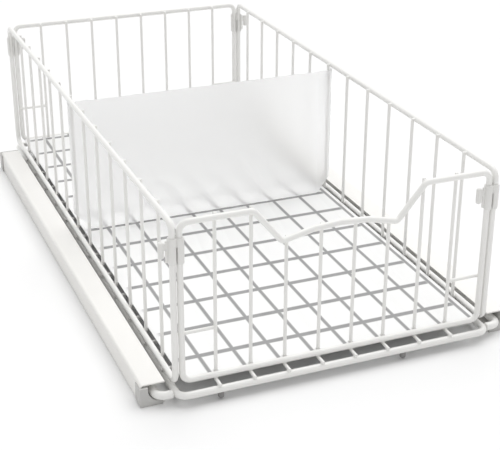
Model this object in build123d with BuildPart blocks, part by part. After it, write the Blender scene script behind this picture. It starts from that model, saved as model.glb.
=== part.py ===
"""Pull-out wire basket for a kitchen cabinet: two floor rails and a sliding wire tray.

Frame: +Z up, the basket opens towards -Y, X across. The origin is on the cabinet floor,
in the middle of the closed product. Millimetres.
"""
import os
from math import asin, atan2, cos, degrees, sin, sqrt

from build123d import *

# ---- Wire ------------------------------------------------------------------------------
frame_d = 4.8          # bent frame wire of the four wall panels
rod_d = 2.8            # thin wire of the uprights and of the base grid
rim_d = 5.8            # ring wire round the base
runner_d = 6.5         # slide bar that runs in the rail
weld_sink = 0.2        # uprights bite this far into the frame wire of their own panel
weld_gap = 0.05        # separately bent wires that are welded together stay this far apart

# ---- Basket ----------------------------------------------------------------------------
basket_depth = 536.0   # front panel plane to back panel plane
side_x = 131.0         # centre line of each side panel, above the base ring
post_gap = 0.6         # between the two posts that stand beside each other in a corner
panel_height = 128.4   # bottom wire to top wire, centre to centre
corner_bend = 7.0      # bends of the panel frames

front_rod_pitch = 28.0
front_rod_margin = 26.0    # least room between the last front upright and the corner post
side_rod_pitch = 41.6
side_rod_first = 41.0  # first side upright, behind the front panel plane
last_wire_margin = 30.0    # least room between the last upright or cross wire and the back panel
stub_height = 38.0     # short cross stubs at the corners, above the bottom wire
stub_past_post = 1.4
rod_top = 1.2          # uprights end this far above the centre of the top wire

scoop_drop_x = 70.0    # the front rim starts to dip here
scoop_low_x = 47.0     # lowest corner of the dip
scoop_depth = 28.2     # that corner, below the top wire
scoop_arch = 7.6       # rise of the shallow arch between the two low corners
scoop_bend = 5.0

# ---- Base tray -------------------------------------------------------------------------
rim_overhang = 7.9     # front and back runs of the ring, outside the panel planes
rim_bend = 8.0
cross_wire_pitch = 41.6
cross_wire_first = 27.4
cross_wire_past = 2.6  # cross wires reach this far past the ring's centre line
long_wire_end = 2.2    # long wires reach this far past the ring's centre line
crank_start = 11.0     # where the long wires leave the ring's level, behind the panel plane
crank_run = 9.0
crank_bend = 5.0

# ---- Rails and slide -------------------------------------------------------------------
rail_width = 19.2
rail_sheet = 1.2
rail_bend = 2.4
rail_front = 4.2       # front edge of the sheet, behind the front panel plane
rail_short = 35.5      # the rail is this much shorter than the basket's depth
tab_reach = 16.0       # screw tabs of the bottom flange
tab_width = 16.0
tab_first = 56.0       # first tab, behind the front edge of the rail
tab_last = 54.5        # last tab, before the back edge of the rail
tab_hole_d = 5.0
tab_hole_inset = 8.0

runner_offset = 15.3   # slide bar, outside the side run of the ring
runner_bend = 8.0
runner_front = -1.4    # front leg, from the front panel plane
runner_short = 60.0    # rear leg, ahead of the back panel plane
slide_gap = 0.3

guide_length = 28.0    # cradle of the front guide inside the rail
guide_radius = 9.0     # hollow that the slide bar rides in
guide_plate = 2.0
guide_chamfer = 1.0
guide_cheek = 0.8
guide_cheek_length = 12.0
guide_inside_bar = 6.0 # the guide starts this far inside the slide bar's centre line
guide_slot = 1.1       # gap left under the top flange
cap_block = 9.0
fit_gap = 0.15

roller_d = 15.0
roller_width = 5.0
roller_play = 0.6      # roller's tread and the two flanges, in all
roller_side_gap = 0.75 # slide bar to roller
pin_side_gap = 0.25    # pin's outer head to the web of the rail
roller_before_leg = 14.0   # roller axle, ahead of the bar's rear leg
roller_float = 0.05    # under the tread, to the bottom flange
pin_d = 4.0
pin_head_d = 6.0
pin_head = 0.4
pin_clearance = 0.05

# ---- Clips, bumpers and sheets ---------------------------------------------------------
clip_height = 20.0
clip_below_top = 20.7  # middle of the clip, under the top wire
clip_wall = 1.1
clip_round = 1.6
clip_mouth = 3.4       # at the inner side of each lobe, where the post snaps in
clip_slot = 1.3        # slot between the lobes, open downwards
clip_web = 6.6         # height of the web that is left above the slot
clip_grip_d = 4.4      # rolled finger grip beside the clip
clip_grip_x = 11.0     # its axis, from the middle of the clip
clip_grip_height = 12.5
clip_grip_below = 2.0  # top of the grip, under the clip's top edge
clip_arm = 1.4         # plate between grip and clip
clip_arm_height = 5.0
clip_rib = 2.0         # rib along the rest of the clip
bumper_d = 4.8
bumper_floor = 1.3
bumper_x = (-98.4, 54.5)

liner_sheet = 0.8
liner_side_gap = 0.6   # edge of the sheet to the side uprights
liner_end_gap = 0.2    # edge of the sheet to the bottom wires of the front and back panels
liner_notch = 0.35     # room round each front and back upright
divider_sheet = 1.2
divider_flap = 18.8    # the flat part ends this far inside each side panel
divider_offset = 12.5  # flat face, ahead of the upright that it hooks on
divider_rod = 6        # number of that upright, counted from 0 at the front
divider_below_top = 1.4    # top edge, under the centre of the top wire
divider_hook_gap = 1.6
divider_hook_wrap = 60.0   # the hook runs on this far behind the upright, in degrees
divider_hook_below = 3.9   # tops of the hooks, under the centre of the top wire
divider_hook_cut = 14.0    # the lower corner of the hook is cut off up to here
divider_bend = 3.0

# ---- Derived places --------------------------------------------------------------------
frame_r, rod_r, rim_r, runner_r = frame_d / 2, rod_d / 2, rim_d / 2, runner_d / 2
front_y, back_y = -basket_depth / 2, basket_depth / 2
post_x = side_x - frame_d - post_gap    # corner posts of the front and back panels
rim_x = side_x                          # the ring's side runs lie under the side panels
runner_x = rim_x + runner_offset
roller_inner = runner_x + runner_r + roller_side_gap
roller_outer = roller_inner + roller_width
rail_outer_x = roller_outer + pin_clearance + pin_head + pin_side_gap + rail_sheet
rail_height = roller_d + roller_play + 2 * rail_sheet
rail_length = basket_depth - rail_short
tab_spacing = rail_length - tab_first - tab_last
runner_rear = basket_depth - runner_short
roller_rear = runner_rear - roller_before_leg
guide_inner_x = runner_x - guide_inside_bar
front_rod_count = int(2 * (post_x - front_rod_margin) / front_rod_pitch) + 1
side_rod_count = int((basket_depth - side_rod_first - last_wire_margin) / side_rod_pitch) + 1
cross_wire_count = int((basket_depth - cross_wire_first - last_wire_margin) / cross_wire_pitch) + 1
scoop_low = panel_height - scoop_depth
scoop_peak = scoop_low + scoop_arch
divider_flat = side_x - divider_flap
slide_z = rail_height / 2
rim_z = slide_z
cross_wire_z = rim_z + rim_r + weld_gap + rod_r
long_wire_z = cross_wire_z + rod_d + weld_gap
panel_z = cross_wire_z + rod_r + weld_gap + frame_r
top_z = panel_z + panel_height
rod_inset = frame_r + rod_r - weld_sink
side_rod_x = side_x - rod_inset
side_rod_y = [front_y + side_rod_first + n * side_rod_pitch for n in range(side_rod_count)]
front_rod_x = [(n - (front_rod_count - 1) / 2) * front_rod_pitch for n in range(front_rod_count)]
liner_z = long_wire_z + rod_r + weld_gap
liner_half_x = side_rod_x - rod_r - liner_side_gap
liner_end = frame_r + liner_end_gap
rail_front_y = front_y + rail_front
rail_back_y = rail_front_y + rail_length
rail_inner_x = rail_outer_x - rail_width
ring_front, ring_back = front_y - rim_overhang, back_y + rim_overhang
sides = (("left", -1), ("right", 1))

os.makedirs("parts", exist_ok=True)


def save(piece, node):
    """Label a finished piece and write it under its node's name."""
    piece.part.label = node
    export_step(piece.part, f"parts/{node}.step")


def across(y):
    """Upright plane across the basket at y, with its local axes along X and Z."""
    return Plane(origin=(0, y, 0), x_dir=(1, 0, 0), z_dir=(0, -1, 0))


def scoop_height(x):
    """Centre of the front panel's top wire above the bottom wire, at x."""
    if abs(x) >= scoop_drop_x:
        return panel_height
    if abs(x) > scoop_low_x:
        return scoop_low + scoop_depth * (abs(x) - scoop_low_x) / (scoop_drop_x - scoop_low_x)
    rise = scoop_peak - scoop_low
    radius = (scoop_low_x**2 + rise**2) / (2 * rise)
    return scoop_peak - radius + sqrt(radius**2 - x**2)


# ---- Rails: folded sheet channels, open towards the basket -----------------------------
def build_rail(side):
    with BuildPart() as rail:
        with BuildSketch(across(rail_front_y)):
            with BuildLine():
                FilletPolyline(
                    (side * rail_inner_x, 0),
                    (side * rail_outer_x, 0),
                    (side * rail_outer_x, rail_height),
                    (side * rail_inner_x, rail_height),
                    radius=rail_bend,
                )
                offset(amount=rail_sheet, side=Side.LEFT if side > 0 else Side.RIGHT)
            make_face()
        extrude(amount=-rail_length)
        for y in (rail_front_y + tab_first, rail_front_y + tab_first + tab_spacing):
            with BuildSketch():
                with Locations((side * (rail_inner_x - tab_reach / 2 + 1), y)):
                    RectangleRounded(tab_reach + 2, tab_width, 3)
                with Locations((side * (rail_inner_x - tab_hole_inset), y)):
                    Circle(tab_hole_d / 2, mode=Mode.SUBTRACT)
            extrude(amount=rail_sheet)
    return rail


for name, side in sides:
    save(build_rail(side), f"{name}_rail")

# ---- Front guides: moulded cradle that the slide bar rides in --------------------------
cradle_offset = (guide_radius - runner_r - slide_gap) / sqrt(2)
cradle_x = runner_x - cradle_offset
cradle_z = slide_z + cradle_offset
guide_top = rail_height - rail_sheet - guide_slot


def cradle_section(side, outer_x, bottom_z):
    """L-shaped section of the guide with the round hollow for the bar."""
    wall_x = cradle_x + guide_radius
    dip = guide_radius / sqrt(2)
    with BuildSketch(across(rail_front_y)) as section:
        with BuildLine():
            hollow = ThreePointArc(
                (side * cradle_x, cradle_z - guide_radius),
                (side * (cradle_x + dip), cradle_z - dip),
                (side * wall_x, cradle_z),
            )
            Polyline(
                hollow @ 1,
                (side * wall_x, guide_top),
                (side * outer_x, guide_top),
                (side * outer_x, bottom_z + guide_chamfer),
                (side * (outer_x - guide_chamfer), bottom_z),
                (side * guide_inner_x, bottom_z),
                (side * guide_inner_x, cradle_z - guide_radius),
                hollow @ 0,
            )
        make_face()
    return section.sketch


def build_guide(side):
    inside = cradle_section(side, rail_outer_x - rail_sheet - fit_gap, rail_sheet + fit_gap)
    front = cradle_section(side, rail_outer_x + guide_cheek, 0)
    with BuildPart() as guide:
        extrude(inside, amount=-guide_length)
        extrude(front, amount=guide_plate)
        cheek_x = side * (rail_outer_x + (guide_cheek + fit_gap) / 2)
        with Locations((cheek_x, rail_front_y - guide_plate, guide_chamfer)):
            Box(
                guide_cheek - fit_gap,
                guide_cheek_length,
                guide_top - guide_chamfer,
                align=(Align.CENTER, Align.MIN, Align.MIN),
            )
    return guide


for name, side in sides:
    save(build_guide(side), f"{name}_front_guide")


# ---- Rear caps: plugs that close the back of each rail ---------------------------------
def build_cap(side):
    plug_width = rail_width - rail_sheet - fit_gap
    plug_height = rail_height - 2 * (rail_sheet + fit_gap)
    plate_width = rail_width + guide_cheek
    cheek_x = side * (rail_outer_x + (guide_cheek + fit_gap) / 2)
    with BuildPart() as cap:
        with Locations((side * (rail_inner_x + plug_width / 2), rail_back_y, slide_z)):
            Box(plug_width, cap_block, plug_height, align=(Align.CENTER, Align.MAX, Align.CENTER))
        plug_edges = cap.edges().filter_by(Axis.Y).group_by(Axis.X)[-1 if side > 0 else 0]
        fillet(plug_edges, rail_bend - rail_sheet - fit_gap)
        with Locations((side * (rail_inner_x + plate_width / 2), rail_back_y, 0)):
            Box(plate_width, guide_plate, rail_height, align=(Align.CENTER, Align.MIN, Align.MIN))
        with Locations((cheek_x, rail_back_y + guide_plate, slide_z)):
            Box(
                guide_cheek - fit_gap,
                guide_cheek_length,
                rail_height,
                align=(Align.CENTER, Align.MAX, Align.CENTER),
            )
        outside = cap.edges().filter_by(Axis.Y).sort_by(Axis.X, reverse=side < 0)[-2:]
        fillet(outside, guide_cheek - fit_gap - 0.1)
    return cap


for name, side in sides:
    save(build_cap(side), f"{name}_rear_cap")

# ---- Base ring --------------------------------------------------------------------------
with BuildPart() as base_rim:
    with BuildLine(Plane.XY.offset(rim_z)) as ring_route:
        FilletPolyline(
            (rim_x, ring_front),
            (rim_x, ring_back),
            (-rim_x, ring_back),
            (-rim_x, ring_front),
            radius=rim_bend,
            close=True,
        )
    with BuildSketch(ring_route.wire() ^ 0):
        Circle(rim_r)
    sweep(path=ring_route.wire())
save(base_rim, "base_rim")

# ---- Base grid: cross wires on the ring, long wires on the cross wires -----------------
with BuildPart() as base_cross_wires:
    for number in range(cross_wire_count):
        y = front_y + cross_wire_first + number * cross_wire_pitch
        with BuildSketch(Plane(origin=(-rim_x - cross_wire_past, y, cross_wire_z), z_dir=(1, 0, 0))):
            Circle(rod_r)
        extrude(amount=2 * (rim_x + cross_wire_past))
save(base_cross_wires, "base_cross_wires")

with BuildPart() as base_long_wires:
    for x in front_rod_x:
        with BuildLine(Plane.YZ.offset(x)) as wire_route:
            FilletPolyline(
                (ring_front - long_wire_end, cross_wire_z),
                (front_y + crank_start, cross_wire_z),
                (front_y + crank_start + crank_run, long_wire_z),
                (back_y - crank_start - crank_run, long_wire_z),
                (back_y - crank_start, cross_wire_z),
                (ring_back + long_wire_end, cross_wire_z),
                radius=crank_bend,
            )
        with BuildSketch(Plane(origin=wire_route.wire() @ 0, z_dir=(0, 1, 0))):
            Circle(rod_r)
        sweep(path=wire_route.wire())
save(base_long_wires, "base_long_wires")


# ---- Front and back panels --------------------------------------------------------------
def add_uprights(positions, y, height_at):
    """Thin uprights on the inside of the panel, from below its bottom wire to its top wire."""
    for x in positions:
        with Locations((x, y, panel_z - rod_r)):
            Cylinder(
                rod_r,
                rod_r + height_at(x) + rod_top,
                rotation=(0, 0, 45),
                align=(Align.CENTER, Align.CENTER, Align.MIN),
            )


def add_stubs(y):
    """Short cross wires in the plane of the uprights, behind each corner post."""
    for side in (-1, 1):
        with Locations((side * front_rod_x[-1], y, panel_z + stub_height)):
            Cylinder(
                rod_r,
                post_x + stub_past_post - front_rod_x[-1],
                rotation=(0, 90 * side, 0),
                align=(Align.CENTER, Align.CENTER, Align.MIN),
            )


with BuildPart() as front_panel:
    with BuildLine(across(front_y)) as front_route:
        right_half = FilletPolyline(
            (0, panel_z),
            (post_x, panel_z),
            (post_x, top_z),
            (scoop_drop_x, top_z),
            (scoop_low_x, panel_z + scoop_low),
            radius=corner_bend,
        )
        mirror(right_half, about=Plane.YZ)
        ThreePointArc(
            (scoop_low_x, panel_z + scoop_low),
            (0, panel_z + scoop_peak),
            (-scoop_low_x, panel_z + scoop_low),
        )
        low_corners = [
            vertex
            for vertex in front_route.vertices()
            if abs(vertex.Z - panel_z - scoop_low) < 0.01
        ]
        fillet(low_corners, scoop_bend)
    with BuildSketch(Plane(origin=(0, front_y, panel_z), z_dir=(1, 0, 0))):
        Circle(frame_r)
    sweep(path=front_route.wire())
    add_uprights(front_rod_x, front_y + rod_inset, scoop_height)
    add_stubs(front_y + rod_inset)
save(front_panel, "front_panel")

with BuildPart() as back_panel:
    with BuildLine(across(back_y)) as back_route:
        FilletPolyline(
            (post_x, panel_z),
            (post_x, top_z),
            (-post_x, top_z),
            (-post_x, panel_z),
            radius=corner_bend,
            close=True,
        )
    with BuildSketch(back_route.wire() ^ 0):
        Circle(frame_r)
    sweep(path=back_route.wire())
    add_uprights(front_rod_x, back_y - rod_inset, lambda x: panel_height)
    add_stubs(back_y - rod_inset)
save(back_panel, "back_panel")


# ---- Side panels ------------------------------------------------------------------------
def build_side_panel(side):
    with BuildPart() as panel:
        with BuildLine(Plane.YZ.offset(side * side_x)) as route:
            FilletPolyline(
                (back_y, panel_z),
                (back_y, top_z),
                (front_y, top_z),
                (front_y, panel_z),
                radius=corner_bend,
                close=True,
            )
        with BuildSketch(route.wire() ^ 0):
            Circle(frame_r)
        sweep(path=route.wire())
        for y in side_rod_y:
            with Locations((side * side_rod_x, y, panel_z - rod_r)):
                Cylinder(
                    rod_r,
                    rod_r + panel_height + rod_top,
                    align=(Align.CENTER, Align.CENTER, Align.MIN),
                )
    return panel


for name, side in sides:
    save(build_side_panel(side), f"{name}_panel")


# ---- Corner clips: one moulded form, snapped over the two posts of a corner -------------
def build_clip(side, panel_y, inward):
    """Two open lobes joined by a web at the top, with a rolled finger grip on one side.

    The mouths face the inside of the basket, so the back clips stand half a turn round.
    """
    bore_r = frame_r + weld_gap
    lobe_r = bore_r + clip_wall
    middle_x = side * (side_x + post_x) / 2
    lobes = ((side * side_x, panel_y), (side * post_x, panel_y))
    clip_low = top_z - clip_below_top - clip_height / 2
    clip_high = clip_low + clip_height
    near_lobe = middle_x - inward * (side_x - post_x) / 2
    with BuildPart() as clip:
        with BuildSketch(Plane.XY.offset(clip_low)):
            with Locations(*lobes):
                Circle(lobe_r)
            with Locations(*lobes):
                Circle(bore_r, mode=Mode.SUBTRACT)
            with Locations(*((x, y + inward * lobe_r) for x, y in lobes)):
                Rectangle(clip_mouth, 2 * lobe_r, mode=Mode.SUBTRACT)
        extrude(amount=clip_height)
        with BuildSketch(across(panel_y - lobe_r)):
            with Locations((middle_x, (clip_low + clip_high) / 2)):
                RectangleRounded(side_x - post_x + 2 * lobe_r, clip_height, clip_round)
            with Locations((middle_x, clip_low)):
                Rectangle(
                    clip_slot,
                    clip_height - clip_web,
                    align=(Align.CENTER, Align.MIN),
                    mode=Mode.SUBTRACT,
                )
        extrude(amount=-2 * lobe_r, mode=Mode.INTERSECT)
        # Finger grip: a rolled edge on a short arm, with a rib down the rest of the lobe.
        grip_x = middle_x - inward * clip_grip_x
        grip_high = clip_high - clip_grip_below
        root_x = near_lobe - inward * (bore_r + clip_wall / 2)
        with Locations((grip_x, panel_y, grip_high)):
            Cylinder(
                clip_grip_d / 2,
                clip_grip_height,
                align=(Align.CENTER, Align.CENTER, Align.MAX),
            )
        grip_ends = clip.edges().filter_by(GeomType.CIRCLE).sort_by(Axis.X, reverse=inward < 0)
        fillet([edge for edge in grip_ends if abs(edge.arc_center.X - grip_x) < 0.01], 1.4)
        with Locations(((grip_x + root_x) / 2, panel_y, grip_high - clip_round)):
            Box(
                abs(grip_x - root_x),
                clip_arm,
                clip_arm_height,
                align=(Align.CENTER, Align.CENTER, Align.MAX),
            )
        with Locations((root_x - inward * clip_rib / 2, panel_y, clip_low + clip_round)):
            Box(
                clip_rib,
                clip_arm,
                clip_height - 2 * clip_round,
                align=(Align.CENTER, Align.CENTER, Align.MIN),
            )
    return clip


for end, panel_y, inward in (("front", front_y, 1), ("back", back_y, -1)):
    for name, side in sides:
        save(build_clip(side, panel_y, inward), f"{end}_{name}_clip")


# ---- Slide bars, roller pins and rollers ------------------------------------------------
roller_y = front_y + roller_rear
roller_z = rail_sheet + roller_float + roller_d / 2


def build_runner(side):
    leg_end = side * (rim_x + rim_r + weld_gap)
    with BuildPart() as runner:
        with BuildLine(Plane.XY.offset(slide_z)) as route:
            FilletPolyline(
                (leg_end, front_y + runner_front),
                (side * runner_x, front_y + runner_front),
                (side * runner_x, front_y + runner_rear),
                (leg_end, front_y + runner_rear),
                radius=runner_bend,
            )
        with BuildSketch(Plane(origin=route.wire() @ 0, z_dir=(side, 0, 0))):
            Circle(runner_r)
        sweep(path=route.wire())
        with BuildSketch(Plane(origin=(side * runner_x, roller_y, roller_z), z_dir=(1, 0, 0))):
            Circle(pin_d / 2 + weld_gap)
        extrude(amount=runner_d, both=True, mode=Mode.SUBTRACT)
    return runner


def build_pin(side):
    inner_end = runner_x - runner_r - weld_gap
    outer_end = roller_outer + pin_clearance
    with BuildPart() as pin:
        with BuildSketch(Plane(origin=(side * inner_end, roller_y, roller_z), z_dir=(side, 0, 0))):
            Circle(pin_d / 2)
        extrude(amount=outer_end - inner_end)
        with BuildSketch(Plane(origin=(side * outer_end, roller_y, roller_z), z_dir=(side, 0, 0))):
            Circle(pin_head_d / 2)
        extrude(amount=pin_head)
        with BuildSketch(Plane(origin=(side * inner_end, roller_y, roller_z), z_dir=(side, 0, 0))):
            Circle(pin_head_d / 2)
        extrude(amount=-pin_head)
    return pin


def build_roller(side):
    bore_r = pin_d / 2 + pin_clearance
    tread_r = roller_d / 2
    with BuildPart() as roller:
        with BuildSketch(Plane(origin=(0, roller_y, roller_z), z_dir=(0, 0, 1))):
            with BuildLine():
                Polyline(
                    (side * roller_inner, bore_r),
                    (side * roller_inner, pin_head_d / 2),
                    (side * (roller_inner + 0.8), pin_head_d / 2 + 0.4),
                    (side * (roller_inner + 0.8), tread_r - 1.6),
                    (side * roller_inner, tread_r - 1.2),
                    (side * roller_inner, tread_r - 0.4),
                    (side * (roller_inner + 0.4), tread_r),
                    (side * (roller_outer - 0.4), tread_r),
                    (side * roller_outer, tread_r - 0.4),
                    (side * roller_outer, bore_r),
                    close=True,
                )
            make_face()
        revolve(axis=Axis((0, roller_y, roller_z), (1, 0, 0)))
    return roller


for name, side in sides:
    save(build_runner(side), f"{name}_runner")
    save(build_pin(side), f"{name}_roller_pin")
    save(build_roller(side), f"{name}_roller")

# ---- Bumpers under the front run of the ring --------------------------------------------
with BuildPart() as front_bumpers:
    for x in bumper_x:
        with Locations((x, ring_front, bumper_floor)):
            Cylinder(
                bumper_d / 2,
                rim_z - bumper_floor,
                align=(Align.CENTER, Align.CENTER, Align.MIN),
            )
    fillet(front_bumpers.edges().group_by(Axis.Z)[0], bumper_d / 2 - 0.3)
    with BuildSketch(Plane(origin=(0, ring_front, rim_z), z_dir=(1, 0, 0))):
        Circle(rim_r + weld_gap)
    extrude(amount=rim_x, both=True, mode=Mode.SUBTRACT)
save(front_bumpers, "front_bumpers")

# ---- Liner sheet on the base grid, notched round the front and back uprights -------------
with BuildPart() as liner:
    with BuildSketch(Plane.XY.offset(liner_z)):
        RectangleRounded(2 * liner_half_x, basket_depth - 2 * liner_end, 3)
        for x in front_rod_x:
            for end in (-1, 1):
                with Locations((x, end * (back_y - rod_inset))):
                    Circle(rod_r + liner_notch, mode=Mode.SUBTRACT)
                    Rectangle(
                        2 * (rod_r + liner_notch),
                        rod_inset,
                        align=(Align.CENTER, Align.MIN if end > 0 else Align.MAX),
                        mode=Mode.SUBTRACT,
                    )
    extrude(amount=liner_sheet)
save(liner, "liner")

# ---- Divider: sheet whose edges hook round an upright of each side ----------------------
hook_y = side_rod_y[divider_rod]
divider_z_top = top_z - divider_below_top
hook_z_top = top_z - divider_hook_below
divider_y = hook_y - divider_offset
divider_z = liner_z + liner_sheet + weld_gap
hook_r = rod_r + divider_hook_gap + divider_sheet / 2
with BuildPart() as divider:
    reach = Vector(side_rod_x - divider_flat, hook_y - divider_y)
    flap_angle = atan2(reach.Y, reach.X) - asin(hook_r / reach.length)
    touch = Vector(side_rod_x + hook_r * sin(flap_angle), hook_y - hook_r * cos(flap_angle))
    with BuildSketch(Plane.XY.offset(divider_z)):
        with BuildLine():
            flat = FilletPolyline(
                (0, divider_y), (divider_flat, divider_y), touch, radius=divider_bend
            )
            JernArc(
                start=flat @ 1,
                tangent=flat % 1,
                radius=hook_r,
                arc_size=90 - degrees(flap_angle) + divider_hook_wrap,
            )
            offset(amount=divider_sheet, side=Side.LEFT)
        make_face()
        mirror(about=Plane.YZ)
    extrude(amount=divider_z_top - divider_z)
    # Silhouette from the front: hook tops under the side panels' top wires, lower corners cut off.
    hook_end = side_rod_x + hook_r + divider_sheet
    with BuildSketch(across(front_y)):
        with BuildLine():
            outline = Polyline(
                (0, divider_z),
                (divider_flat + divider_bend, divider_z),
                (hook_end, divider_z + divider_hook_cut),
                (hook_end, hook_z_top),
                (side_rod_x - rod_r, hook_z_top),
                (divider_flat + divider_bend, divider_z_top),
                (0, divider_z_top),
            )
            mirror(outline, about=Plane.YZ)
        make_face()
    extrude(amount=-basket_depth, mode=Mode.INTERSECT)
save(divider, "divider")
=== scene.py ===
"""Pull-out cabinet basket: a wire tray with a scooped front on two floor rails."""

import math

import bmesh
import bpy
from mathutils import Matrix, Quaternion, Vector


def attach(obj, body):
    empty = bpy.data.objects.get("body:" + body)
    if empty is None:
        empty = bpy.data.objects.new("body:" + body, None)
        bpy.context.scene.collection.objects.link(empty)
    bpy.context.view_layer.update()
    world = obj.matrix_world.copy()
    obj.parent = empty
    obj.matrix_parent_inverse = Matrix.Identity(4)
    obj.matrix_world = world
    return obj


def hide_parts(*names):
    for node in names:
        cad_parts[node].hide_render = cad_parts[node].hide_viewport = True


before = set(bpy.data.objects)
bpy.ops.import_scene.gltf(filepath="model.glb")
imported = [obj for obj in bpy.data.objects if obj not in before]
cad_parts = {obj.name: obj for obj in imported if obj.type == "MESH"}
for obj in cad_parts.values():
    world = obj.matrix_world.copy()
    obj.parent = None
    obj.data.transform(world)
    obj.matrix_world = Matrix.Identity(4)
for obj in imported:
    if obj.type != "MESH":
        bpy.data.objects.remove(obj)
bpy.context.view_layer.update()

# ---- Base ring --------------------------------------------------------------------------
# A ring of thick steel wire, bent round at the corners and butt welded. It carries the
# whole basket, and is dipped with the rest in a white powder coat.
mm = 0.001
front, back = -268.0 * mm, 268.0 * mm  # planes of the front and back panels
quarter = math.radians(90)
seam = 0.02 * mm  # the two ends of a closed wire meet within this


def bend_wire(stock, start, heading, gauge, steps, sides=14):
    """Feeds and bends one wire: a number is a run, a tuple (radius, angle, axis) a bend."""
    heading = Vector(heading).normalized()
    point = Vector(start)
    place = Matrix.Translation(point) @ heading.to_track_quat("Z", "X").to_matrix().to_4x4()
    made = bmesh.ops.create_circle(stock, radius=gauge / 2, segments=sides, matrix=place)
    first = list(dict.fromkeys(edge for vert in made["verts"] for edge in vert.link_edges))
    last = first
    for step in steps:
        if isinstance(step, tuple):
            radius, angle, axis = step
            axis = Vector(axis).normalized()
            centre = point + axis.cross(heading) * radius
            turns = max(2, round(abs(angle) / math.radians(9)))
            spun = bmesh.ops.spin(
                stock, geom=last, cent=centre, axis=axis, angle=angle, steps=turns
            )
            last = [item for item in spun["geom_last"] if isinstance(item, bmesh.types.BMEdge)]
            turned = Matrix.Rotation(angle, 3, axis)
            point = centre + turned @ (point - centre)
            heading = turned @ heading
        else:
            fed = bmesh.ops.extrude_edge_only(stock, edges=last)["geom"]
            moved = [item for item in fed if isinstance(item, bmesh.types.BMVert)]
            bmesh.ops.translate(stock, verts=moved, vec=heading * step)
            last = [item for item in fed if isinstance(item, bmesh.types.BMEdge)]
            last = [edge for edge in last if all(vert in moved for vert in edge.verts)]
            point = point + heading * step
    return first, last


def close_ends(stock, *rims, soften=0.6 * mm):
    """Sheared wire ends, with the corner rounded by the coat."""
    for rim in rims:
        lid = bmesh.ops.edgeloop_fill(stock, edges=rim)["faces"]
        rims_now = list(dict.fromkeys(edge for face in lid for edge in face.edges))
        bmesh.ops.bevel(
            stock,
            geom=rims_now,
            offset=soften,
            offset_type="OFFSET",
            segments=3,
            profile=0.5,
            affect="EDGES",
            material=-1,
        )


def make_piece(name, stock, material, body="tray"):
    """Turns finished stock into a named piece that rides on its body."""
    bmesh.ops.recalc_face_normals(stock, faces=stock.faces)
    mesh = bpy.data.meshes.new(name)
    stock.to_mesh(mesh)
    stock.free()
    mesh.shade_smooth()
    mesh.set_sharp_from_angle(angle=math.radians(50))
    mesh.materials.append(material)
    piece = bpy.data.objects.new(name, mesh)
    bpy.context.scene.collection.objects.link(piece)
    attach(piece, body)
    return piece


def math_step(tree, operation, *feeds):
    """One math node. A number is set as a value, anything else is linked."""
    node = tree.nodes.new("ShaderNodeMath")
    node.operation = operation
    for socket, feed in zip(node.inputs, feeds):
        if isinstance(feed, (int, float)):
            socket.default_value = feed
        else:
            tree.links.new(feed, socket)
    return node.outputs[0]


def make_skin_group():
    """Coat or moulded skin: slow mottling, fine orange peel and gloss that varies."""
    group = bpy.data.node_groups.new("skin", "ShaderNodeTree")
    face = group.interface
    face.new_socket("Colour", in_out="INPUT", socket_type="NodeSocketColor")
    face.new_socket("Shade", in_out="INPUT", socket_type="NodeSocketColor")
    for label in ("Mottle", "Mottle amount", "Peel", "Gloss", "Gloss spread"):
        face.new_socket(label, in_out="INPUT", socket_type="NodeSocketFloat")
    face.new_socket("Colour", in_out="OUTPUT", socket_type="NodeSocketColor")
    face.new_socket("Roughness", in_out="OUTPUT", socket_type="NodeSocketFloat")
    face.new_socket("Height", in_out="OUTPUT", socket_type="NodeSocketFloat")
    nodes, links = group.nodes, group.links
    inside = nodes.new("NodeGroupInput")
    outside = nodes.new("NodeGroupOutput")
    place = nodes.new("ShaderNodeTexCoord")
    mottle = nodes.new("ShaderNodeTexNoise")
    mottle.inputs["Detail"].default_value = 3.0
    links.new(place.outputs["Object"], mottle.inputs["Vector"])
    links.new(inside.outputs["Mottle"], mottle.inputs["Scale"])
    wave = mottle.outputs["Fac"]
    amount = math_step(group, "MULTIPLY", wave, inside.outputs["Mottle amount"])
    tint = nodes.new("ShaderNodeMix")
    tint.data_type = "RGBA"
    links.new(amount, tint.inputs["Factor"])
    links.new(inside.outputs["Colour"], tint.inputs["A"])
    links.new(inside.outputs["Shade"], tint.inputs["B"])
    links.new(tint.outputs["Result"], outside.inputs["Colour"])
    peel = nodes.new("ShaderNodeTexNoise")
    peel.inputs["Detail"].default_value = 2.0
    links.new(place.outputs["Object"], peel.inputs["Vector"])
    links.new(inside.outputs["Peel"], peel.inputs["Scale"])
    links.new(peel.outputs["Fac"], outside.inputs["Height"])
    spread, gloss = inside.outputs["Gloss spread"], inside.outputs["Gloss"]
    roughness = math_step(group, "MULTIPLY_ADD", wave, spread, gloss)
    links.new(roughness, outside.inputs["Roughness"])
    return group


skin = make_skin_group()


def make_finish(name, colour, shade, settings, bump, depth=0.1 * mm):
    """A material whose colour, gloss and fine relief come from the skin group."""
    material = bpy.data.materials.new(name)
    material.use_nodes = True
    nodes, links = material.node_tree.nodes, material.node_tree.links
    shader = nodes["Principled BSDF"]
    coat = nodes.new("ShaderNodeGroup")
    coat.node_tree = skin
    coat.name = "Skin"
    coat.inputs["Colour"].default_value = (*colour, 1)
    coat.inputs["Shade"].default_value = (*shade, 1)
    for label, value in settings.items():
        coat.inputs[label].default_value = value
    relief = nodes.new("ShaderNodeBump")
    relief.inputs["Strength"].default_value = bump
    relief.inputs["Distance"].default_value = depth
    links.new(coat.outputs["Colour"], shader.inputs["Base Color"])
    links.new(coat.outputs["Roughness"], shader.inputs["Roughness"])
    links.new(coat.outputs["Height"], relief.inputs["Height"])
    links.new(relief.outputs["Normal"], shader.inputs["Normal"])
    return material


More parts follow.
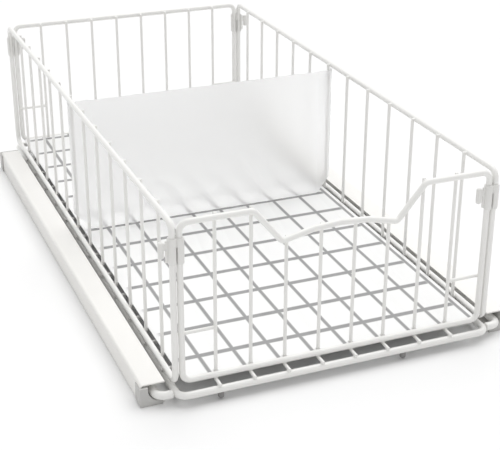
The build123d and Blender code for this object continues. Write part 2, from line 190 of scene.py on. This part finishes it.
coated_wire = make_finish(
    "coated_wire",
    (0.88, 0.875, 0.855),
    (0.78, 0.77, 0.745),
    {"Mottle": 45.0, "Mottle amount": 0.35, "Peel": 900.0, "Gloss": 0.30, "Gloss spread": 0.12},
    0.25,
)
coated_wire.node_tree.nodes["Principled BSDF"].inputs["Coat Weight"].default_value = 0.2

up = (0, 0, 1)
ring_x, ring_out, ring_z = 131 * mm, 7.9 * mm, 9 * mm
ring_gauge, ring_bend = 5.8 * mm, 8 * mm
ring_front, ring_back = front - ring_out, back + ring_out
side_run = ring_back - ring_front - 2 * ring_bend
end_run = 2 * ring_x - 2 * ring_bend
stock = bmesh.new()
bend_wire(
    stock,
    (-ring_x + ring_bend, ring_front, ring_z),
    (1, 0, 0),
    ring_gauge,
    [end_run, (ring_bend, quarter, up), side_run, (ring_bend, quarter, up)] * 2,
    sides=18,
)
bmesh.ops.remove_doubles(stock, verts=stock.verts, dist=seam)
base_ring = make_piece("base_ring", stock, coated_wire)
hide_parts("base_rim")

# ---- Long wires -------------------------------------------------------------------------
# Eight thin straight wires that run from front to back, welded on top of the ring. Each
# stands just beside the upright of the same number.
thin_gauge = 2.8 * mm
wire_low, long_past, beside = 13.35 * mm, 2.2 * mm, 1.4 * mm
long_pitch, long_count = 28.0, 8  # pitch in millimetres
long_x = [(number - (long_count - 1) / 2) * long_pitch * mm for number in range(long_count)]
long_length = ring_back - ring_front + 2 * long_past
stock = bmesh.new()
for x in long_x:
    start = (x - beside, ring_front - long_past, wire_low)
    ends = bend_wire(stock, start, (0, 1, 0), thin_gauge, [long_length])
    close_ends(stock, *ends)
long_wires = make_piece("long_wires", stock, coated_wire)
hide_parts("base_long_wires")

# ---- Cross wires ------------------------------------------------------------------------
# Twelve thin wires across, lying on the long wires. Near each end they are cranked down to
# the ring, and their cut ends show as a row of dots along its outside.
lap = 2.85 * mm
wire_high = wire_low + lap
cross_end = 133.6 * mm
cross_first, cross_pitch, cross_count = 27.4 * mm, 41.6 * mm, 12
cross_y = [front + cross_first + number * cross_pitch for number in range(cross_count)]
crank_at, crank_run, crank_bend = 120 * mm, 8 * mm, 4 * mm
crank_angle = math.atan2(lap, crank_run)
crank_cut = crank_bend * math.tan(crank_angle / 2)
crank_slope = math.hypot(lap, crank_run) - 2 * crank_cut
lead_in = cross_end - crank_at - crank_cut
middle = 2 * (crank_at - crank_run - crank_cut)
lift = (crank_bend, crank_angle, (0, -1, 0))
drop = (crank_bend, crank_angle, (0, 1, 0))
stock = bmesh.new()
for y in cross_y:
    ends = bend_wire(
        stock,
        (-cross_end, y, wire_low),
        (1, 0, 0),
        thin_gauge,
        [lead_in, lift, crank_slope, drop, middle, drop, crank_slope, lift, lead_in],
    )
    close_ends(stock, *ends)
cross_wires = make_piece("cross_wires", stock, coated_wire)
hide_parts("base_cross_wires")

# ---- Front panel ------------------------------------------------------------------------
# One closed frame wire whose top dips into a low handle arch, with eight thin uprights
# welded inside it and a short cross stub at each corner. The four outer uprights stand up
# to the top of the frame wire.
post_x, panel_z, panel_height = 125.6 * mm, 17.2 * mm, 128.4 * mm
frame_gauge, panel_bend = 4.8 * mm, 7 * mm
inset, weld_in = 3.6 * mm, 1.9 * mm  # uprights and their welds, from the frame wire
dip_x, low_x, low_z, peak_z, low_bend = 70 * mm, 47 * mm, 100.2 * mm, 107.8 * mm, 5 * mm
arch_rise = peak_z - low_z
arch_radius = (low_x**2 + arch_rise**2) / (2 * arch_rise)
arch_angle = math.asin(low_x / arch_radius)
dip_angle = math.atan2(panel_height - low_z, dip_x - low_x)
dip_cut = panel_bend * math.tan(dip_angle / 2)
low_cut = low_bend * math.tan((dip_angle + arch_angle) / 2)
arch_left = arch_angle - low_cut / arch_radius
slant = math.hypot(dip_x - low_x, panel_height - low_z) - dip_cut - low_cut
facing, away = (0, -1, 0), (0, 1, 0)
rod_top, rod_low = 1.2 * mm, 1.4 * mm
outer_rod_top = 1.15 * mm  # how much further the four outer uprights of the front go
stub_height, stub_end = 38 * mm, 127 * mm
bead_across = (2.0 * mm, 1.5 * mm, 1.7 * mm)
bead_along = (1.5 * mm, 2.0 * mm, 1.7 * mm)


def arch_height(x):
    """Height of the front panel's top wire over its bottom wire."""
    if abs(x) >= dip_x:
        return panel_height
    return peak_z - arch_radius + math.sqrt(arch_radius**2 - x**2)


def add_uprights(stock, places, height_at):
    """Thin uprights from just below the bottom wire to just above the top wire."""
    for x, y in places:
        length = rod_low + height_at(x) + rod_top
        ends = bend_wire(stock, (x, y, panel_z - rod_low), up, thin_gauge, [length])
        close_ends(stock, *ends)


def add_stubs(stock, y):
    """The two short cross wires behind the corner posts."""
    for side in (-1, 1):
        start = (side * long_x[-1], y, panel_z + stub_height)
        ends = bend_wire(stock, start, (side, 0, 0), thin_gauge, [stub_end - long_x[-1]])
        close_ends(stock, *ends)


def add_welds(stock, places, size):
    """Small smooth collars of coat where two wires are welded across each other."""
    for point in places:
        shape = Matrix.Translation(point) @ Matrix.Diagonal((*size, 1))
        bmesh.ops.create_icosphere(stock, subdivisions=2, radius=1.0, matrix=shape)


stock = bmesh.new()
half = [
    post_x - panel_bend,
    (panel_bend, quarter, facing),
    panel_height - 2 * panel_bend,
    (panel_bend, quarter, facing),
    post_x - panel_bend - dip_x - dip_cut,
    (panel_bend, dip_angle, facing),
    slant,
    (low_bend, dip_angle + arch_left, away),
    (arch_radius, arch_left, facing),
]
bend_wire(stock, (0, front, panel_z), (1, 0, 0), frame_gauge, half, sides=18)
near_middle = 0.3 * mm  # both open ends go onto the middle plane, where the halves join
for vert in stock.verts:
    if abs(vert.co.x) < near_middle:
        vert.co.x = 0
bmesh.ops.mirror(
    stock,
    geom=stock.verts[:] + stock.edges[:] + stock.faces[:],
    axis="X",
    merge_dist=0.05 * mm,
)
front_rods = [(x, front + inset) for x in long_x]
add_uprights(
    stock, front_rods, lambda x: arch_height(x) + (abs(x) >= dip_x) * outer_rod_top
)
add_stubs(stock, front + inset)
weld_y = front + weld_in
beads = [(x, weld_y, panel_z) for x in long_x]
beads += [(x, weld_y, panel_z + arch_height(x)) for x in long_x]
add_welds(stock, beads, bead_across)
front_frame = make_piece("front_frame", stock, coated_wire)
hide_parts("front_panel")

# ---- Back panel -------------------------------------------------------------------------
# The same frame with a straight top, turned round so that its uprights are inside too.
stock = bmesh.new()
loop = [
    2 * post_x - 2 * panel_bend,
    (panel_bend, quarter, facing),
    panel_height - 2 * panel_bend,
    (panel_bend, quarter, facing),
] * 2
start = (-post_x + panel_bend, back, panel_z)
bend_wire(stock, start, (1, 0, 0), frame_gauge, loop, sides=18)
bmesh.ops.remove_doubles(stock, verts=stock.verts, dist=seam)
add_uprights(stock, [(x, back - inset) for x in long_x], lambda x: panel_height)
add_stubs(stock, back - inset)
weld_y = back - weld_in
beads = [(x, weld_y, z) for x in long_x for z in (panel_z, panel_z + panel_height)]
add_welds(stock, beads, bead_across)
back_frame = make_piece("back_frame", stock, coated_wire)
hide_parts("back_panel")

# ---- Side panels ------------------------------------------------------------------------
# A long frame wire on each side that stands on the cross wires, with twelve uprights
# welded on the inside.
side_x, side_first = 131 * mm, 41.0 * mm
side_rods = [front + side_first + number * cross_pitch for number in range(cross_count)]
for name, side in (("left", -1), ("right", 1)):
    stock = bmesh.new()
    turn = (panel_bend, quarter, (1, 0, 0))
    loop = [back - front - 2 * panel_bend, turn, panel_height - 2 * panel_bend, turn] * 2
    start = (side * side_x, front + panel_bend, panel_z)
    bend_wire(stock, start, (0, 1, 0), frame_gauge, loop, sides=18)
    bmesh.ops.remove_doubles(stock, verts=stock.verts, dist=seam)
    rod_x = side * (side_x - inset)
    add_uprights(stock, [(rod_x, y) for y in side_rods], lambda x: panel_height)
    weld_x = side * (side_x - weld_in)
    beads = [(weld_x, y, z) for y in side_rods for z in (panel_z, panel_z + panel_height)]
    add_welds(stock, beads, bead_along)
    side_frame = make_piece(f"{name}_frame", stock, coated_wire)
    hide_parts(f"{name}_panel")

# ---- Base welds -------------------------------------------------------------------------
# Every crossing of the base is spot welded. The coat fills each corner with a small collar.
crossing_bead = (1.45 * mm, 1.45 * mm, 1.6 * mm)
flat_bead = (1.9 * mm, 1.9 * mm, 1.1 * mm)
on_ring = ring_z + 3.0 * mm
under_panel = panel_z - frame_gauge / 2
stock = bmesh.new()
crossings = [(x - beside, y, (wire_low + wire_high) / 2) for x in long_x for y in cross_y]
add_welds(stock, crossings, crossing_bead)
for line_x, line_y, height in (
    (ring_x, (ring_front, ring_back), on_ring),
    (side_x, (front, back), under_panel),
):
    spots = [(side * line_x, y, height) for y in cross_y for side in (-1, 1)]
    spots += [(x - beside, y, height) for x in long_x for y in line_y]
    add_welds(stock, spots, flat_bead)
make_piece("base_welds", stock, coated_wire)

# ---- Slide bars -------------------------------------------------------------------------
# The thickest wire, one bar on each side. Both ends are bent in and welded to the ring,
# and the bar itself runs inside the rail.
bar_x, bar_z, bar_gauge, bar_bend = 146.3 * mm, 9 * mm, 6.5 * mm, 8 * mm
bar_front, bar_back, bar_end = front - 1.4 * mm, front + 476 * mm, 133.95 * mm
for name, side in (("left", -1), ("right", 1)):
    stock = bmesh.new()
    leg = bar_x - bar_bend - bar_end
    turn = (bar_bend, quarter, (0, 0, side))
    run = [leg, turn, bar_back - bar_front - 2 * bar_bend, turn, leg]
    start = (side * bar_end, bar_front, bar_z)
    ends = bend_wire(stock, start, (side, 0, 0), bar_gauge, run, sides=20)
    close_ends(stock, *ends, soften=0.5 * mm)
    slide_bar = make_piece(f"{name}_slide_bar", stock, coated_wire)
    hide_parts(f"{name}_runner")

# ---- Rails ------------------------------------------------------------------------------
# White coated sheet steel, folded into a channel that is open towards the basket, with
# two screw tabs left on its lower flange.
rail_coat = make_finish(
    "rail_coat",
    (0.87, 0.86, 0.835),
    (0.78, 0.765, 0.735),
    {"Mottle": 14.0, "Mottle amount": 0.3, "Peel": 700.0, "Gloss": 0.32, "Gloss spread": 0.1},
    0.2,
)


def soften_node(node, material, body, width, name=None):
    """A copy of a plain CAD piece with its sharp edges rounded off, in its place."""
    stock = bmesh.new()
    stock.from_mesh(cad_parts[node].data)
    bmesh.ops.remove_doubles(stock, verts=stock.verts, dist=0.004 * mm)
    bmesh.ops.dissolve_limit(
        stock, angle_limit=math.radians(1), verts=stock.verts, edges=stock.edges
    )
    sharp = [
        edge
        for edge in stock.edges
        if len(edge.link_faces) == 2 and edge.calc_face_angle() > math.radians(35)
    ]
    bmesh.ops.bevel(
        stock,
        geom=sharp,
        offset=width,
        offset_type="OFFSET",
        segments=2,
        profile=0.5,
        affect="EDGES",
        clamp_overlap=True,
        material=-1,
    )
    piece = make_piece(name or node + "_body", stock, material, body=body)
    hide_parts(node)


for side in ("left", "right"):
    soften_node(f"{side}_rail", rail_coat, "rails", 0.25 * mm)

# ---- Rail guides and caps ---------------------------------------------------------------
# Moulded ends pressed into the rails: the front ones cradle the slide bars, the rear ones
# close the channel. Their mid grey is painted shade laid over an off-white plastic.
# Painted shade: the off-white plastic is given the grey of its shaded front faces.
guide_grey_painted_shade = make_finish(
    "guide_grey_painted_shade",
    (0.56, 0.555, 0.54),
    (0.46, 0.455, 0.44),
    {"Mottle": 60.0, "Mottle amount": 0.4, "Peel": 2600.0, "Gloss": 0.45, "Gloss spread": 0.1},
    0.3,
    0.05 * mm,
)
for side in ("left", "right"):
    soften_node(f"{side}_front_guide", guide_grey_painted_shade, "rails", 0.35 * mm)
    soften_node(f"{side}_rear_cap", guide_grey_painted_shade, "rails", 0.25 * mm)

# ---- Rollers and pins -------------------------------------------------------------------
# Nylon rollers hidden in the rails, turning on headed steel pins through the slide bars.
nylon = make_finish(
    "nylon",
    (0.82, 0.815, 0.78),
    (0.74, 0.73, 0.69),
    {"Mottle": 120.0, "Mottle amount": 0.3, "Peel": 3000.0, "Gloss": 0.4, "Gloss spread": 0.1},
    0.15,
    0.05 * mm,
)
plated_steel = make_finish(
    "plated_steel",
    (0.58, 0.58, 0.58),
    (0.46, 0.46, 0.47),
    {"Mottle": 300.0, "Mottle amount": 0.6, "Peel": 4000.0, "Gloss": 0.28, "Gloss spread": 0.15},
    0.15,
    0.03 * mm,
)
plated_steel.node_tree.nodes["Principled BSDF"].inputs["Metallic"].default_value = 1.0
for side in ("left", "right"):
    soften_node(f"{side}_roller", nylon, f"{side}_roller", 0.15 * mm)
    soften_node(f"{side}_roller_pin", plated_steel, "tray", 0.1 * mm)

# ---- Corner clips -----------------------------------------------------------------------
# White moulded double clips, snapped over the two posts that meet at each corner. A rolled
# finger grip stands out beside each.
clip_plastic = make_finish(
    "clip_plastic",
    (0.80, 0.795, 0.775),
    (0.72, 0.71, 0.69),
    {"Mottle": 150.0, "Mottle amount": 0.3, "Peel": 1500.0, "Gloss": 0.25, "Gloss spread": 0.1},
    0.12,
    0.05 * mm,
)
for corner in ("front_left", "front_right", "back_left", "back_right"):
    soften_node(f"{corner}_clip", clip_plastic, "tray", 0.4 * mm)

# ---- Bumpers ----------------------------------------------------------------------------
# Two small grey rubber feet pushed up under the front run of the ring.
bumper_rubber = make_finish(
    "bumper_rubber",
    (0.26, 0.255, 0.25),
    (0.20, 0.195, 0.19),
    {"Mottle": 200.0, "Mottle amount": 0.5, "Peel": 3500.0, "Gloss": 0.6, "Gloss spread": 0.15},
    0.3,
    0.05 * mm,
)
soften_node("front_bumpers", bumper_rubber, "tray", 0.15 * mm)

# ---- Base liner -------------------------------------------------------------------------
# A thin milky plastic sheet laid on the cross wires. The wires under it are painted into
# its colour as soft grey lines of painted shade. The cross wires leave the sheet where
# they are cranked down, and their painted lines fade there.
liner_plastic = make_finish(
    "liner_plastic",
    (0.87, 0.87, 0.865),
    (0.86, 0.86, 0.855),
    {"Mottle": 8.0, "Mottle amount": 0.3, "Peel": 500.0, "Gloss": 0.38, "Gloss spread": 0.12},
    0.06,
)


def make_shadow_line_group():
    """Painted shade: a soft grey line that repeats at the pitch of the wires under the sheet."""
    group = bpy.data.node_groups.new("painted_wire_shade", "ShaderNodeTree")
    face = group.interface
    for label in ("Across", "Offset", "Pitch", "Half width", "Blur"):
        face.new_socket(label, in_out="INPUT", socket_type="NodeSocketFloat")
    face.new_socket("Mask", in_out="OUTPUT", socket_type="NodeSocketFloat")
    nodes, links = group.nodes, group.links
    inside = nodes.new("NodeGroupInput")
    outside = nodes.new("NodeGroupOutput")
    pitch, half_width = inside.outputs["Pitch"], inside.outputs["Half width"]
    blur = inside.outputs["Blur"]
    shifted = math_step(group, "SUBTRACT", inside.outputs["Across"], inside.outputs["Offset"])
    half_pitch = math_step(group, "MULTIPLY", pitch, 0.5)
    centred = math_step(group, "ADD", shifted, half_pitch)
    folded = math_step(group, "FLOORED_MODULO", centred, pitch)
    distance = math_step(group, "ABSOLUTE", math_step(group, "SUBTRACT", folded, half_pitch))
    inner = math_step(group, "SUBTRACT", half_width, blur)
    outer = math_step(group, "ADD", half_width, blur)
    fade = nodes.new("ShaderNodeMapRange")
    fade.interpolation_type = "SMOOTHSTEP"
    links.new(distance, fade.inputs["Value"])
    links.new(inner, fade.inputs["From Min"])
    links.new(outer, fade.inputs["From Max"])
    fade.inputs["To Min"].default_value = 1.0
    fade.inputs["To Max"].default_value = 0.0
    links.new(fade.outputs["Result"], outside.inputs["Mask"])
    return group


painted_wire_shade = make_shadow_line_group()
seen_aside = 3.9 * mm  # how far the photograph's slant moves the long wires below the sheet
liner_tree = liner_plastic.node_tree
nodes, links = liner_tree.nodes, liner_tree.links
place = nodes.new("ShaderNodeTexCoord")
split = nodes.new("ShaderNodeSeparateXYZ")
links.new(place.outputs["Object"], split.inputs[0])
masks = []
for axis, offset, pitch, half_width in (
    ("X", 14 * mm - beside - seen_aside, long_pitch * mm, 1.6 * mm),
    ("Y", front + cross_first, cross_pitch, 2.6 * mm),
):
    lines = nodes.new("ShaderNodeGroup")
    lines.node_tree = painted_wire_shade
    for label, value in (
        ("Offset", offset),
        ("Pitch", pitch),
        ("Half width", half_width),
        ("Blur", 0.8 * mm),
    ):
        lines.inputs[label].default_value = value
    links.new(split.outputs[axis], lines.inputs["Across"])
    masks.append(lines.outputs["Mask"])
touching = nodes.new("ShaderNodeMapRange")
touching.interpolation_type = "SMOOTHSTEP"
for label, value in (
    ("From Min", crank_at - 3 * mm),
    ("From Max", crank_at + 4 * mm),
    ("To Min", 1.0),
    ("To Max", 0.0),
):
    touching.inputs[label].default_value = value
links.new(math_step(liner_tree, "ABSOLUTE", split.outputs["X"]), touching.inputs["Value"])
resting = math_step(liner_tree, "MULTIPLY", masks[1], touching.outputs["Result"])
painted_shade_amount = math_step(liner_tree, "MAXIMUM", masks[0], resting)
# Painted shade: the sheet's colour is darkened to grey along the wires beneath it.
paint_wire_shade = nodes.new("ShaderNodeMix")
paint_wire_shade.data_type = "RGBA"
links.new(painted_shade_amount, paint_wire_shade.inputs["Factor"])
links.new(nodes["Skin"].outputs["Colour"], paint_wire_shade.inputs["A"])
paint_wire_shade.inputs["B"].default_value = (0.27, 0.27, 0.27, 1)
links.new(paint_wire_shade.outputs["Result"], nodes["Principled BSDF"].inputs["Base Color"])
soften_node("liner", liner_plastic, "tray", 0.15 * mm, name="base_liner")

# ---- Divider ----------------------------------------------------------------------------
# A frosted plastic sheet set across the basket. Its two ends are heat bent into hooks
# that snap round an upright on each side.
divider_plastic = make_finish(
    "divider_plastic",
    (0.985, 0.985, 0.985),
    (0.965, 0.967, 0.967),
    {"Mottle": 7.0, "Mottle amount": 0.3, "Peel": 450.0, "Gloss": 0.42, "Gloss spread": 0.06},
    0.08,
)
sheet = divider_plastic.node_tree.nodes["Principled BSDF"]
sheet.inputs["Transmission Weight"].default_value = 0.9
sheet.inputs["IOR"].default_value = 1.25
soften_node("divider", divider_plastic, "tray", 0.2 * mm, name="divider_sheet")

# ---- Floor and light --------------------------------------------------------------------
# A white studio floor under a broad soft light from behind and to the right, in a surround
# that is bright overhead and dimmer towards the horizon.
stock = bmesh.new()
bmesh.ops.create_grid(stock, x_segments=1, y_segments=1, size=6)
floor_mesh = bpy.data.meshes.new("floor")
stock.to_mesh(floor_mesh)
stock.free()
floor = bpy.data.objects.new("floor", floor_mesh)
bpy.context.scene.collection.objects.link(floor)
floor_paint = bpy.data.materials.new("floor_paint")
floor_paint.use_nodes = True
paper = floor_paint.node_tree.nodes["Principled BSDF"]
paper.inputs["Base Color"].default_value = (0.9, 0.9, 0.9, 1)
paper.inputs["Roughness"].default_value = 0.9
paper.inputs["Specular IOR Level"].default_value = 0.2
floor_mesh.materials.append(floor_paint)

world = bpy.data.worlds.new("surround")
bpy.context.scene.world = world
world.use_nodes = True
nodes, links = world.node_tree.nodes, world.node_tree.links
surround = nodes["Background"]
surround.inputs["Color"].default_value = (1, 1, 1, 1)
direction = nodes.new("ShaderNodeTexCoord")
height = nodes.new("ShaderNodeSeparateXYZ")
links.new(direction.outputs["Generated"], height.inputs[0])
overhead = nodes.new("ShaderNodeMapRange")
overhead.inputs["To Min"].default_value = 0.4
overhead.inputs["To Max"].default_value = 0.93
links.new(height.outputs["Z"], overhead.inputs["Value"])
path = nodes.new("ShaderNodeLightPath").outputs
seen = math_step(world.node_tree, "MAXIMUM", path["Is Camera Ray"], path["Is Glossy Ray"])
seen = math_step(world.node_tree, "MAXIMUM", seen, path["Is Transmission Ray"])
level = nodes.new("ShaderNodeMix")
level.inputs["B"].default_value = 1.0
links.new(seen, level.inputs["Factor"])
links.new(overhead.outputs["Result"], level.inputs["A"])
links.new(level.outputs["Result"], surround.inputs["Strength"])

sky_lamp = bpy.data.lights.new("sky_lamp", "SUN")
sky_lamp.energy = 1.4
sky_lamp.angle = math.radians(60)
sky_holder = bpy.data.objects.new("sky_lamp", sky_lamp)
sky_holder.rotation_euler = Vector((-0.55, -0.6, -1.6)).to_track_quat("-Z", "Y").to_euler()
bpy.context.scene.collection.objects.link(sky_holder)

# ---- Camera -----------------------------------------------------------------------------
# Solved from the grid of wires in the photograph.
focal_pixels, picture_width, film_width = 1204.55, 500, 36
lens = bpy.data.cameras.new("camera")
lens.sensor_width = film_width
lens.lens = film_width * focal_pixels / picture_width
viewer = bpy.data.objects.new("camera", lens)
turn, tilt, roll = 0.3872, 0.4345, 0.003
ahead = Vector(
    (math.sin(turn) * math.cos(tilt), math.cos(turn) * math.cos(tilt), -math.sin(tilt))
)
aim = ahead.to_track_quat("-Z", "Y") @ Quaternion((0, 0, 1), roll)
viewer.location = (-0.3655, -0.719 + front, 0.4952)
viewer.rotation_euler = aim.to_euler()
bpy.context.scene.collection.objects.link(viewer)
bpy.context.scene.camera = viewer
bpy.context.scene.view_settings.view_transform = "Standard"
